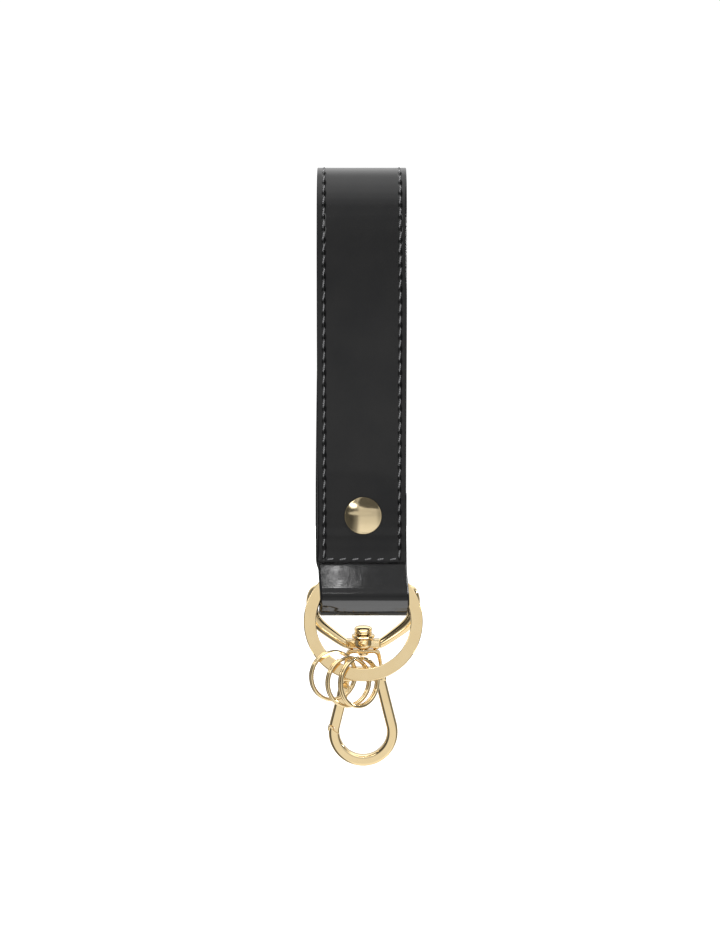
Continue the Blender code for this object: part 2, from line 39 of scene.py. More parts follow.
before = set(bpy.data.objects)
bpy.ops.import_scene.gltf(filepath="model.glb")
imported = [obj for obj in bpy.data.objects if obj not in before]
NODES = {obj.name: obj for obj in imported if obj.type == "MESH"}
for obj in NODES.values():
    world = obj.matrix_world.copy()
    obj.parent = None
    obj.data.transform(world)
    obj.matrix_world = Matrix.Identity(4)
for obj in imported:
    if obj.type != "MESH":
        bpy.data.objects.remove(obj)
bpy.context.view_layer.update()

# strap; a place on its path is a vector of (Y, Z)
STRAP_WIDTH = 26.2
OUTER = 1.3
LINING = 1.1
GLUE = 0.1
RIVET_Z = -100.6
FRONT_END_Z = -114.2
BACK_LINING_END_Z = -108.0
PATH_STEP = 0.4
STITCH_X = 11.1
STITCH_PITCH = 3.45
STITCH_LENGTH = 2.55
STITCH_SINK = 0.09
STITCH_LIFT = 0.10
STITCH_SLANT = 0.20
THREAD_R = 0.24
END_ROW = 1.0
END_STITCHES = 6
EDGE_SUPPORT = 0.06
BEVEL_SLOPE = 1.35
TAB_LEAN = math.radians(17.5)
TAB_HEAD = Vector((-2.75, -114.6))

# rivet caps, as (radius, height)
FRONT_CAP = (5.55, 1.9)
BACK_CAP = (4.5, 1.3)

# rings
RING_CENTRE = Vector((0.0, -5.49, -131.6))
RING_LEAN = math.radians(14.0)
RING_OUTER_R = 17.5
RING_INNER_R = 13.9
RING_TURN = 1.0
RING_SPACING = 1.2
SMALL_OUTER_R = 7.5
SMALL_WIRE = (0.52, 0.42)
SMALL_SPACING = 0.94
# angle round the large ring from its foot, distance from its centre, offset along its axis,
# tilt about the ring plane's upright, turn in the ring's plane
SMALL_RINGS = {
    "small_ring_1": (28.9, 18.05, 0.0, 28.3, -27.4),
    "small_ring_2": (13.7, 18.15, 0.15, 33.1, -19.3),
    "small_ring_3": (4.0, 17.85, 0.7, 41.6, -14.0),
}

# swivel and hook
BAR_Z = -122.4
HARDWARE_LEAN = math.radians(5.0)
HOOK_TOP = -18.3
HOOK_HALF = 1.65
BULB_Z = -25.0
BULB_R = 8.75
TAPER = math.radians(13.9)
# where the right-hand straight of the bar meets the bulb, as (X, Z) below the hook's top
BULB_TOUCH = Vector((BULB_R * math.cos(TAPER), BULB_Z + BULB_R * math.sin(TAPER)))
SEAM_POINT = Vector((-8.45, -24.5))
SEAM_DROP = math.radians(37.4)
SEAM_CENTRE = Vector((SEAM_POINT.x, 0, SEAM_POINT.y))
SEAM_NORMAL = Vector((math.sin(SEAM_DROP), 0, math.cos(SEAM_DROP)))
SEAM_GAP = 0.3
PIN_DEPTH = -11.7
NOSE = Vector((-9.70, -23.90))
NOSE_R = 0.95
NOSE_CLEARANCE = 0.22


# ---------------------------------------------------------------- mesh helpers


def deposit(name, bm, body, materials, matrix=None, sharp_deg=None, replaces=()):
    """A bmesh in millimetres becomes a shown piece in metres that rides on a body."""
    if matrix is not None:
        bmesh.ops.transform(bm, matrix=matrix, verts=bm.verts)
    bmesh.ops.scale(bm, vec=(MM, MM, MM), verts=bm.verts)
    bmesh.ops.recalc_face_normals(bm, faces=bm.faces)
    mesh = bpy.data.meshes.new(name)
    bm.to_mesh(mesh)
    bm.free()
    mesh.shade_smooth()
    if sharp_deg:
        mesh.set_sharp_from_angle(angle=math.radians(sharp_deg))
    piece = bpy.data.objects.new(name, mesh)
    bpy.context.scene.collection.objects.link(piece)
    for m in materials:
        mesh.materials.append(m)
    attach(piece, body)
    if replaces:
        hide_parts(*replaces)
    return piece


def skin(rings, closed=False, material_of=None):
    """A surface through rings of points that correspond; open ends get a cap."""
    bm = bmesh.new()
    loops = [[bm.verts.new(point) for point in ring] for ring in rings]
    pairs = list(zip(loops, loops[1:]))
    if closed:
        pairs.append((loops[-1], loops[0]))
    for one, two in pairs:
        for k in range(len(one)):
            after = (k + 1) % len(one)
            face = bm.faces.new((one[k], one[after], two[after], two[k]))
            if material_of:
                face.material_index = material_of[k]
    if not closed:
        bm.faces.new(list(reversed(loops[0])))
        bm.faces.new(loops[-1])
    return bm


def revolve(profile, steps):
    """A body of revolution round Z from (radius, height) points; radius 0 closes it on the axis."""
    bm = bmesh.new()
    loops = []
    for radius, height in profile:
        if radius < 1e-6:
            loops.append([bm.verts.new((0, 0, height))])
            continue
        angles = [2 * math.pi * k / steps for k in range(steps)]
        loops.append([bm.verts.new((radius * math.cos(a), radius * math.sin(a), height)) for a in angles])
    for one, two in zip(loops, loops[1:]):
        for k in range(steps):
            after = (k + 1) % steps
            corners = [one[k % len(one)], one[after % len(one)], two[after % len(two)], two[k % len(two)]]
            unique = list(dict.fromkeys(corners))
            if len(unique) > 2:
                bm.faces.new(unique)
    return bm


def revolve_band(profile, steps):
    """A band of revolution round Z from a closed loop of (radius, height) points off the axis."""
    turns = [2 * math.pi * k / steps for k in range(steps)]
    return skin([[(r * math.cos(a), r * math.sin(a), z) for r, z in profile] for a in turns], closed=True)


def arc(centre, radius, start_deg, end_deg, step_deg=5.0):
    count = max(1, math.ceil(abs(end_deg - start_deg) / step_deg))
    angles = [math.radians(start_deg + (end_deg - start_deg) * k / count) for k in range(count + 1)]
    return [Vector((centre[0] + radius * math.cos(a), centre[1] + radius * math.sin(a))) for a in angles]


def catmull(a, b, c, d, t):
    return 0.5 * (2 * b + (c - a) * t + (2 * a - 5 * b + 4 * c - d) * t * t + (3 * b - a - 3 * c + d) * t**3)


def smooth_path(points, step, fine_steps=24):
    """Evenly spaced points on a smooth curve through the given points."""
    fine = []
    points = [Vector(p) for p in points]
    padded = [points[0] * 2 - points[1]] + points + [points[-1] * 2 - points[-2]]
    for k in range(1, len(padded) - 2):
        for i in range(fine_steps):
            fine.append(catmull(padded[k - 1], padded[k], padded[k + 1], padded[k + 2], i / fine_steps))
    fine.append(points[-1])
    along = [0.0]
    for one, two in zip(fine, fine[1:]):
        along.append(along[-1] + (two - one).length)
    count = max(2, round(along[-1] / step))
    path = []
    at = 0
    for k in range(count + 1):
        want = along[-1] * k / count
        while at < len(along) - 2 and along[at + 1] < want:
            at += 1
        part = (want - along[at]) / (along[at + 1] - along[at])
        path.append(fine[at].lerp(fine[at + 1], part))
    return path


def side_normals(path):
    normals = []
    for k in range(len(path)):
        run = path[min(k + 1, len(path) - 1)] - path[max(k - 1, 0)]
        run.normalize()
        normals.append(Vector((-run.y, run.x)))
    return normals


def rounded_box_section(half_w, half_h, radius, steps=4):
    """A rounded rectangle as (u, v) points, anticlockwise."""
    section = []
    for cx, cy, start in ((1, 1, 0), (-1, 1, 90), (-1, -1, 180), (1, -1, 270)):
        corner = (cx * (half_w - radius), cy * (half_h - radius))
        section += arc(corner, radius, start, start + 90, 90 / steps)
    return supported(section)


def supported(section, inset=0.05):
    """The section with extra points beside its corners, so that smooth shading leaves its flats flat."""
    result = []
    for k, here in enumerate(section):
        after = section[(k + 1) % len(section)]
        result.append(here)
        length = (after - here).length
        if length > 6 * inset:
            result.append(here.lerp(after, inset / length))
            result.append(here.lerp(after, 1 - inset / length))
    return result


def smoothstep(t):
    t = min(1.0, max(0.0, t))
    return t * t * (3 - 2 * t)


# ---------------------------------------------------------------- materials


def shader_of(name, **values):
    """A new material with its shader and node tree; the values go on the shader's own sockets."""
    made = bpy.data.materials.new(name)
    made.use_nodes = True
    tree = made.node_tree
    shader = tree.nodes["Principled BSDF"]
    for key, value in values.items():
        shader.inputs[key.replace("_", " ")].default_value = value
    return made, tree, shader


def node(tree, kind, inputs=(), **settings):
    made = tree.nodes.new(kind)
    for key, value in settings.items():
        setattr(made, key, value)
    for key, value in dict(inputs).items():
        if isinstance(value, bpy.types.NodeSocket):
            tree.links.new(value, made.inputs[key])
        else:
            made.inputs[key].default_value = value
    return made


def ramp(tree, source, low, high, from_value, to_value):
    """Map the stretch from low to high onto two values, and hold them beyond it."""
    ends = {"From Min": low, "From Max": high, "To Min": from_value, "To Max": to_value}
    return node(tree, "ShaderNodeMapRange", {"Value": source, **ends}).outputs["Result"]


def mix_colour(tree, factor, one, two):
    made = tree.nodes.new("ShaderNodeMix")
    made.data_type = "RGBA"
    tree.links.new(factor, made.inputs["Factor"])
    # sockets 6 and 7 are the mix node's colours A and B, and output 2 is its colour
    for key, value in ((6, one), (7, two)):
        if isinstance(value, bpy.types.NodeSocket):
            tree.links.new(value, made.inputs[key])
        else:
            made.inputs[key].default_value = value
    return made.outputs[2]


def paint(tree, shader, factor, one, two):
    """A base colour that runs between two colours."""
    tree.links.new(mix_colour(tree, factor, one, two), shader.inputs["Base Color"])


def maths(tree, operation, one, two):
    return node(tree, "ShaderNodeMath", {0: one, 1: two}, operation=operation).outputs["Value"]


def object_place(tree):
    return node(tree, "ShaderNodeTexCoord").outputs["Object"]


def noise_of(tree, place, scale, detail=3.0, roughness=0.5):
    values = {"Vector": place, "Scale": scale, "Detail": detail, "Roughness": roughness}
    return node(tree, "ShaderNodeTexNoise", values).outputs["Fac"]


def bump_of(tree, height, strength, distance, normal=None):
    made = node(tree, "ShaderNodeBump", {"Height": height, "Strength": strength, "Distance": distance})
    if normal is not None:
        tree.links.new(normal, made.inputs["Normal"])
    return made.outputs["Normal"]


def patent_leather():
    made, tree, shader = shader_of("patent_leather_look", IOR=1.40)
    place = object_place(tree)
    cloud = noise_of(tree, place, 85.0, 4.0)
    cloudy = ramp(tree, cloud, 0.35, 0.65, 0.0, 1.0)
    paint(tree, shader, cloudy, (0.0030, 0.0031, 0.0034, 1), (0.0055, 0.0054, 0.0054, 1))
    smudge = noise_of(tree, place, 240.0, 6.0, 0.62)
    tree.links.new(ramp(tree, smudge, 0.3, 0.75, 0.05, 0.13), shader.inputs["Roughness"])
    cells = node(tree, "ShaderNodeTexVoronoi", {"Vector": place, "Scale": 1900.0}, feature="SMOOTH_F1")
    waves = noise_of(tree, place, 160.0, 2.0)
    first = bump_of(tree, waves, 0.035, 0.0006)
    tree.links.new(bump_of(tree, cells.outputs["Distance"], 0.05, 0.00006, first), shader.inputs["Normal"])
    return made


def edge_paint():
    made, tree, shader = shader_of("edge_paint_look", IOR=1.42)
    place = object_place(tree)
    worn = noise_of(tree, place, 900.0, 5.0, 0.7)
    rubbed = ramp(tree, worn, 0.5, 0.8, 0.0, 1.0)
    paint(tree, shader, rubbed, (0.004, 0.004, 0.0045, 1), (0.014, 0.013, 0.012, 1))
    tree.links.new(ramp(tree, worn, 0.3, 0.8, 0.12, 0.28), shader.inputs["Roughness"])
    tree.links.new(bump_of(tree, worn, 0.35, 0.0001), shader.inputs["Normal"])
    return made


def lining_leather():
    made, tree, shader = shader_of("lining_leather_look", IOR=1.45, Sheen_Weight=0.15, Sheen_Roughness=0.5)
    place = object_place(tree)
    values = {"Vector": place, "Scale": 950.0, "Smoothness": 0.6}
    grain = node(tree, "ShaderNodeTexVoronoi", values, feature="SMOOTH_F1").outputs["Distance"]
    crease = noise_of(tree, place, 420.0, 6.0, 0.65)
    paint(tree, shader, crease, (0.012, 0.0115, 0.0115, 1), (0.030, 0.029, 0.028, 1))
    tree.links.new(ramp(tree, grain, 0.1, 0.7, 0.42, 0.62), shader.inputs["Roughness"])
    first = bump_of(tree, crease, 0.25, 0.0003)
    tree.links.new(bump_of(tree, grain, 0.45, 0.00018, first), shader.inputs["Normal"])
    return made


def waxed_thread():
    made, tree, shader = shader_of("waxed_thread_look", IOR=1.55, Sheen_Weight=0.08, Sheen_Roughness=0.35)
    uv = node(tree, "ShaderNodeTexCoord").outputs["UV"]
    values = {"Vector": uv, "Scale": 1.0, "Distortion": 0.0, "Detail": 0.0}
    bands = node(tree, "ShaderNodeTexWave", values, wave_type="BANDS", bands_direction="DIAGONAL")
    twist_and_painted_glint = bands.outputs["Fac"]
    # painted highlight: the twist's lighter bands are pale grey on the black thread and stand in for glints
    # on its plies; the banding itself follows the real twist
    paint(tree, shader, twist_and_painted_glint, (0.010, 0.010, 0.011, 1), (0.22, 0.22, 0.225, 1))
    tree.links.new(ramp(tree, twist_and_painted_glint, 0.0, 1.0, 0.34, 0.16), shader.inputs["Roughness"])
    tree.links.new(bump_of(tree, twist_and_painted_glint, 0.8, 0.0001), shader.inputs["Normal"])
    return made


def gold(name, colour, tint, rough, rough_high, scratch_scale):
    made, tree, shader = shader_of(name, Metallic=1.0)
    place = object_place(tree)
    cloud = noise_of(tree, place, 260.0, 4.0)
    paint(tree, shader, ramp(tree, cloud, 0.3, 0.7, 0.0, 1.0), colour, tint)
    values = {"Vector": place, "Rotation": (0.3, 0.7, 0.4), "Scale": (1.0, 0.08, 1.0)}
    stretched = node(tree, "ShaderNodeMapping", values).outputs["Vector"]
    hairline = noise_of(tree, stretched, scratch_scale, 5.0, 0.7)
    tree.links.new(ramp(tree, hairline, 0.35, 0.75, rough, rough_high), shader.inputs["Roughness"])
    wave = noise_of(tree, place, 330.0, 1.0)
    first = bump_of(tree, wave, 0.05, 0.0002)
    tree.links.new(bump_of(tree, hairline, 0.05, 0.00004, first), shader.inputs["Normal"])
    return made


def drawn_steel():
    made, tree, shader = shader_of("drawn_steel_look", Metallic=1.0)
    place = object_place(tree)
    lines = noise_of(tree, place, 2600.0, 3.0)
    paint(tree, shader, lines, (0.42, 0.42, 0.43, 1), (0.62, 0.62, 0.63, 1))
    tree.links.new(ramp(tree, lines, 0.2, 0.8, 0.22, 0.4), shader.inputs["Roughness"])
    tree.links.new(bump_of(tree, lines, 0.2, 0.00003), shader.inputs["Normal"])
    return made


PATENT = patent_leather()
EDGE = edge_paint()
LINING_LOOK = lining_leather()
THREAD = waxed_thread()
GOLD = gold("gold_plate_look", (0.93, 0.74, 0.43, 1), (0.90, 0.70, 0.39, 1), 0.045, 0.12, 900.0)
CAP_GOLD = gold("rivet_gold_look", (0.80, 0.66, 0.42, 1), (0.76, 0.62, 0.38, 1), 0.10, 0.20, 1400.0)
STEEL = drawn_steel()


# ---------------------------------------------------------------- strap


def loop_points():
    """The inner face of the outer leather, as (Y, Z), from the front end over the top to the back."""
    return [
        (-5.46, FRONT_END_Z), (-4.02, -110.2), (-2.84, -106.8), (-2.70, -104.0), (-2.70, RIVET_Z),
        (-2.70, -97.0), (-2.80, -93.5), (-3.20, -88.5), (-4.40, -80.0), (-6.90, -64.0), (-9.10, -47.0),
        (-10.4, -31.0), (-10.8, -18.0), (-9.90, -8.6), (-7.00, -2.3), (-3.3, 0.7), (0.0, 1.2), (3.2, 0.3),
        (6.30, -3.2), (7.90, -9.2), (8.30, -18.0), (7.90, -31.0), (6.80, -47.0), (5.10, -64.0), (3.30, -80.0),
        (1.80, -89.0), (1.33, -95.0), (1.30, -98.0), (1.30, RIVET_Z), (1.30, -105.0),
        (1.42, BACK_LINING_END_Z),
    ]


def fold_points():
    """The same face carried on round the hardware and up behind the front panel."""
    lean = math.tan(TAB_LEAN)
    up = [(TAB_HEAD.x + lean * (z - TAB_HEAD.y), z) for z in (-124.4, -122.0, -118.5, TAB_HEAD.y)]
    down = [(1.75, -113.0), (2.05, -118.0), (2.10, -123.0), (1.80, -126.2)]
    bottom = [(0.30, -128.2), (-1.30, -128.85), (-3.10, -128.75), (-4.25, -127.30), (-5.25, -125.75)]
    tuck = [(-1.25, -110.0), (-0.15, -106.8), (0.0, -104.0), (0.0, RIVET_Z), (0.0, -94.0)]
    return down + bottom + up + tuck


PATH = smooth_path(loop_points() + fold_points(), PATH_STEP)
NORMALS = side_normals(PATH)
LOOP_END = next(k for k, p in enumerate(PATH) if p.x > 0 and p.y < BACK_LINING_END_Z)


def along_of(path):
    total = [0.0]
    for one, two in zip(path, path[1:]):
        total.append(total[-1] + (two - one).length)
    return total


ALONG = along_of(PATH)


def place_at(distance):
    """The path point and normal at a distance along it."""
    k = min(range(len(ALONG)), key=lambda i: abs(ALONG[i] - distance))
    if ALONG[k] > distance:
        k -= 1
    k = max(0, min(k, len(ALONG) - 2))
    part = (distance - ALONG[k]) / (ALONG[k + 1] - ALONG[k])
    return PATH[k].lerp(PATH[k + 1], part), NORMALS[k].lerp(NORMALS[k + 1], part).normalized()


def edge_bevels(k):
    """How wide the left and right edges' flat bevels are at a path point; the worn stretches are wider."""
    z = PATH[k].y
    by_rivet = smoothstep((-z - 84.0) / 14.0)
    by_top = smoothstep((z + 38.0) / 10.0) * smoothstep((-z - 3.0) / 5.0)
    if k <= TOP_K:
        return 0.30 * by_rivet, 0.34 * by_top + 0.12 * by_rivet
    if k <= FOLD_K:
        return 0.40 * by_rivet, 0.15
    return 0.46, 0.34


# how far round a rounded edge goes, as (cosine, sine), from the side to the face
FINE_CORNER = ((1.0, 0.0), (0.92, 0.38), (0.71, 0.71), (0.38, 0.92), (0.0, 1.0))
COARSE_CORNER = ((1.0, 0.0), (0.71, 0.71), (0.0, 1.0))


def across_section(near, far, edge_out, edge_in, columns=28):
    """(x, offset, on_edge, on_face) across the strip: far face from left to right, then back."""
    half = STRAP_WIDTH / 2
    section = []
    for c, s in FINE_CORNER:
        section.append((-half + edge_out * (1 - c), far - edge_out * (1 - s), True, False))
    inner_half = half - edge_out
    stations = [-inner_half + 2 * inner_half * k / columns for k in range(1, columns)]
    for row in (-STITCH_X, STITCH_X):
        stations += [row + d for d in (-0.62, -0.36, -0.16, 0.0, 0.16, 0.36, 0.62)]
    stations += [-inner_half + EDGE_SUPPORT, inner_half - EDGE_SUPPORT]
    stations = sorted(set(round(x, 3) for x in stations))
    section += [(x, far, False, True) for x in stations]
    for c, s in reversed(FINE_CORNER):
        section.append((half - edge_out * (1 - c), far - edge_out * (1 - s), True, False))
    for c, s in COARSE_CORNER:
        section.append((half - edge_in * (1 - c), near + edge_in * (1 - s), True, False))
    section += [(x, near, False, False) for x in (8.0, 0.0, -8.0)]
    for c, s in reversed(COARSE_CORNER):
        section.append((-half + edge_in * (1 - c), near + edge_in * (1 - s), True, False))
    return section


def stitch_sink(x, distance):
    """How far the stitching pulls the leather in at a place on its outer face."""
    sink = 0.0
    for row in (-STITCH_X, STITCH_X):
        off = abs(x - row)
        if off < 1.1 and STITCH_FIRST <= distance <= STITCH_LAST:
            phase = ((distance - STITCH_FIRST) / STITCH_PITCH) % 1.0
            hole = math.exp(-((min(phase, 1 - phase) * STITCH_PITCH / 0.5) ** 2))
            groove = math.exp(-((off / 0.42) ** 2))
            rim = math.exp(-(((off - 0.66) / 0.24) ** 2))
            sink += (0.09 + 0.45 * hole) * groove - (0.03 + 0.09 * hole) * rim
    return sink


STITCH_FIRST = 1.0
STITCH_LAST = ALONG[LOOP_END] - 2.4
SKIVE_LENGTH = 11.0
SKIVE_END = 0.42


def skive(distance):
    """How thick the two layers are near the front panel's end, as a share of their full thickness."""
    return SKIVE_END + (1 - SKIVE_END) * smoothstep(distance / SKIVE_LENGTH)


def skived(offset, distance):
    """An offset from the path once the layers are pared down towards the lining's inner face."""
    floor = -GLUE - LINING
    return floor + (offset - floor) * skive(distance)


TOP_K = max(range(len(PATH)), key=lambda k: PATH[k].y)
FOLD_K = min(range(len(PATH)), key=lambda k: PATH[k].y)
FRONT_DRIFT = -0.43
BACK_DRIFT = -1.05
TAB_FOOT_DRIFT = 0.50
TAB_HEAD_DRIFT = -0.20
# Below this height the back layer draws in, so the frame's arms swing past its edges.
CLEAR_Z = 113.9
CLEAR_SHARE = 0.64


def drift_at(k):
    """How far the strap's middle wanders to the side at a path point, as hand-folded leather does."""
    z = PATH[k].y
    if k <= TOP_K:
        return FRONT_DRIFT
    if k <= FOLD_K:
        down = FRONT_DRIFT + (BACK_DRIFT - FRONT_DRIFT) * smoothstep(-z / 95.0)
        return down + (TAB_FOOT_DRIFT - BACK_DRIFT) * CLEAR_SHARE * smoothstep((-z - CLEAR_Z) / 4.75)
    share = CLEAR_SHARE + (1 - CLEAR_SHARE) * smoothstep((ALONG[k] - ALONG[FOLD_K]) / 4.0)
    foot = BACK_DRIFT + (TAB_FOOT_DRIFT - BACK_DRIFT) * share
    return foot + (TAB_HEAD_DRIFT - TAB_FOOT_DRIFT) * smoothstep((z + 127.0) / 12.0)


def drift(distance):
    k = min(range(len(ALONG)), key=lambda i: abs(ALONG[i] - distance))
    return drift_at(k)


def strip_mesh(first, last, near, far, edge_out, edge_in, sink=None, end_round=0.5):
    """The strap as a fine strip between two offsets, with rounded edges and ends."""
    section = across_section(near, far, edge_out, edge_in)
    rings = []
    middle = (near + far) / 2
    half = STRAP_WIDTH / 2
    for k in range(first, last + 1):
        point, normal = PATH[k], NORMALS[k]
        to_end = min(ALONG[k] - ALONG[first], ALONG[last] - ALONG[k])
        squeeze = 1.0
        if to_end < end_round:
            squeeze = 0.35 + 0.65 * math.sqrt(max(0.0, 1 - (1 - to_end / end_round) ** 2))
        ring = []
        bevels = edge_bevels(k)
        for x, offset, _, on_face in section:
            if abs(x) > half - edge_out - EDGE_SUPPORT - 0.01 and offset > middle:
                wide = bevels[0] if x < 0 else bevels[1]
                down = (abs(x) - (half - edge_out)) / edge_out
                x -= math.copysign(wide * (1 - max(0.0, down)), x)
                offset -= max(0.0, down) * wide * BEVEL_SLOPE
            off = skived(middle + (offset - middle) * squeeze, ALONG[k])
            if sink and on_face:
                off -= sink(x, ALONG[k])
            at = point + normal * off
            ring.append((x + drift_at(k), at.x, at.y))
        rings.append(ring)
    material_of = []
    count = len(section)
    for k in range(count):
        after = (k + 1) % count
        both_edge = section[k][2] or section[after][2]
        material_of.append(1 if both_edge else (0 if section[k][1] > middle else 2))
    return skin(rings, material_of=material_of)


def make_strap():
    bm = strip_mesh(0, len(PATH) - 1, 0.0, OUTER, 0.22, 0.12, stitch_sink)
    looks = [PATENT, EDGE, LINING_LOOK]
    deposit("leather_outer", bm, "strap", looks, replaces=("strap_outer",))
    bm = strip_mesh(0, LOOP_END - 1, -GLUE + 0.02, -GLUE - LINING, 0.2, 0.1)
    looks = [LINING_LOOK, EDGE, LINING_LOOK]
    deposit("leather_lining", bm, "strap", looks, replaces=("strap_lining",))


def add_stitch(bm, uv_layer, centre, along, up, side, length, slant):
    """One stitch: a bowed capsule that dips into the leather at both ends, leaning a little across."""
    steps, sides = 9, 8
    loops = []
    for k in range(steps + 1):
        t = -1 + 2 * k / steps
        radius = THREAD_R * math.sqrt(max(0.02, 1 - abs(t) ** 3.2))
        height = STITCH_LIFT * (1 - t * t) - 0.16 * t * t
        middle = centre + along * (t * length / 2) + up * height + side * (slant * t)
        loop = []
        for i in range(sides):
            a = 2 * math.pi * i / sides
            spoke = side * (radius * math.cos(a)) + up * (radius * 0.85 * math.sin(a))
            loop.append(bm.verts.new(middle + spoke))
        loops.append(loop)
    for k, (one, two) in enumerate(zip(loops, loops[1:])):
        for i in range(sides):
            after = (i + 1) % sides
            face = bm.faces.new((one[i], one[after], two[after], two[i]))
            for loop, (u, v) in zip(face.loops, ((k, i), (k, i + 1), (k + 1, i + 1), (k + 1, i))):
                loop[uv_layer].uv = (u * 0.30, v * 0.125)
    bm.faces.new(list(reversed(loops[0])))
    bm.faces.new(loops[-1])


def stitch_row(name, x, node_name):
    bm = bmesh.new()
    uv_layer = bm.loops.layers.uv.new("thread")
    count = int((STITCH_LAST - STITCH_FIRST) / STITCH_PITCH)
    dice = random.Random(node_name)
    for k in range(count):
        distance = STITCH_FIRST + STITCH_PITCH * (k + 0.5)
        point, normal = place_at(distance)
        along = Vector((0, normal.y, -normal.x))
        up = Vector((0, normal.x, normal.y))
        centre = Vector((x + drift(distance) + dice.uniform(-0.05, 0.05), point.x, point.y))
        centre += up * (skived(OUTER, distance) - STITCH_SINK)
        slant = STITCH_SLANT + dice.uniform(-0.07, 0.07)
        length = STITCH_LENGTH * dice.uniform(0.94, 1.04)
        add_stitch(bm, uv_layer, centre, along, up, Vector((1, 0, 0)), length, slant)
    deposit(name, bm, "strap", [THREAD], replaces=(node_name,))


def make_stitches():
    stitch_row("stitches_left", -STITCH_X, "thread_row_left")
    stitch_row("stitches_right", STITCH_X, "thread_row_right")
    bm = bmesh.new()
    uv_layer = bm.loops.layers.uv.new("thread")
    point, normal = place_at(END_ROW)
    up = Vector((0, normal.x, normal.y))
    along = Vector((1, 0, 0))
    side = up.cross(along).normalized()
    pitch = 2 * STITCH_X / END_STITCHES
    for k in range(END_STITCHES):
        x = -STITCH_X + pitch * (k + 0.5)
        centre = Vector((x + drift(END_ROW), point.x, point.y)) + up * (skived(OUTER, END_ROW) - STITCH_SINK)
        add_stitch(bm, uv_layer, centre, along, up, side, STITCH_LENGTH * 1.02, STITCH_SLANT)
    deposit("stitches_end", bm, "strap", [THREAD], replaces=("thread_row_end",))


# ---------------------------------------------------------------- rivet


def cap_profile(radius, height):
    rim = 0.42
    shoulder = 0.34
    profile = [(0, 0.25), (radius - 0.9, 0.25), (radius - 0.7, 0.0), (radius - 0.25, 0.0), (radius, 0.3)]
    profile += [(p.x, p.y) for p in arc((radius - rim, shoulder), rim, 0, 78, 6)]
    edge_r, edge_z = profile[-1]
    for k in range(1, 33):
        part = 1 - k / 32
        profile.append((edge_r * part, edge_z + (height - edge_z) * (1 - part**2)))
    return profile


def make_rivet():
    front_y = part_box("rivet_cap_front")[1].y / MM
    back_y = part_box("rivet_cap_back")[0].y / MM
    for node_name, size, y, facing in (
        ("rivet_cap_front", FRONT_CAP, front_y, -1),
        ("rivet_cap_back", BACK_CAP, back_y, 1),
    ):
        bm = revolve(cap_profile(*size), 96)
        matrix = Matrix.Translation((0, y, RIVET_Z)) @ Matrix.Rotation(-facing * math.pi / 2, 4, "X")
        deposit(node_name + "_look", bm, "strap", [CAP_GOLD], matrix, replaces=(node_name,))


# ---------------------------------------------------------------- rings


def coil(section, mean_r, spacing, jog_deg, jog_at_deg, step_deg, taper_deg=6.0):
    """Two turns of a section with a jog between them; each end is worn thin a little."""
    rings = []
    start, stop = jog_deg + 2.0, 718.0
    count = round((stop - start) / step_deg)
    for k in range(count + 1):
        turn = start + (stop - start) * k / count
        lift = spacing * (smoothstep((turn - 360.0) / jog_deg) - 0.5)
        to_end = min(turn - start, stop - turn)
        thin = 0.72 + 0.28 * smoothstep(to_end / taper_deg)
        a = math.radians(turn + jog_at_deg - jog_deg / 2)
        ring = []
        for out, axial in section:
            r = mean_r + out
            ring.append((r * math.cos(a), r * math.sin(a), axial * thin + lift))
        rings.append(ring)
    return skin(rings)


def ring_plane():
    return Matrix.Translation(RING_CENTRE) @ Matrix.Rotation(math.pi / 2 - RING_LEAN, 4, "X")


def make_rings():
    section = rounded_box_section((RING_OUTER_R - RING_INNER_R) / 2, RING_TURN / 2, 0.24)
    bm = coil(section, (RING_OUTER_R + RING_INNER_R) / 2, RING_SPACING, 22.0, 90.0, 2.0)
    cad_names = ("large_split_ring",)
    deposit("large_ring_look", bm, "large_ring", [GOLD], ring_plane(), 50, cad_names)
    wire = [Vector((SMALL_WIRE[0] * p.x, SMALL_WIRE[1] * p.y)) for p in arc((0, 0), 1.0, 0, 345, 15)]
    for name, (angle, distance, forward, twist_and_painted_glint, toward) in SMALL_RINGS.items():
        bm = coil(wire, SMALL_OUTER_R - SMALL_WIRE[0], SMALL_SPACING, 36.0, 118.0, 3.0)
        a = math.radians(angle)
        place = Matrix.Translation((-distance * math.sin(a), -distance * math.cos(a), forward))
        turn = Matrix.Rotation(math.radians(toward), 4, "Z") @ Matrix.Rotation(math.radians(twist_and_painted_glint), 4, "Y")
        cad_name = name.replace("small_ring", "small_split_ring")
        deposit(name + "_look", bm, name, [GOLD], ring_plane() @ place @ turn, 50, (cad_name,))


# ---------------------------------------------------------------- swivel frame


def frame_matrix():
    return Matrix.Translation((0, 0, BAR_Z)) @ Matrix.Rotation(HARDWARE_LEAN, 4, "X")


def hook_matrix():
    return frame_matrix() @ Matrix.Translation((0, 0, HOOK_TOP))


def tube(points, sides=28):
    """A tube with its own radius at each (X, Z, radius) point of a path in X and Z."""
    places = [Vector((p[0], 0, p[1])) for p in points]
    rings = []
    for k, (_, _, radius) in enumerate(points):
        run = (places[min(k + 1, len(points) - 1)] - places[max(k - 1, 0)]).normalized()
        across = Vector((-run.z, 0, run.x))
        ring = []
        for i in range(sides):
            a = 2 * math.pi * i / sides
            ring.append(places[k] + across * radius * math.cos(a) + Vector((0, radius * math.sin(a), 0)))
        rings.append(ring)
    return skin(rings)


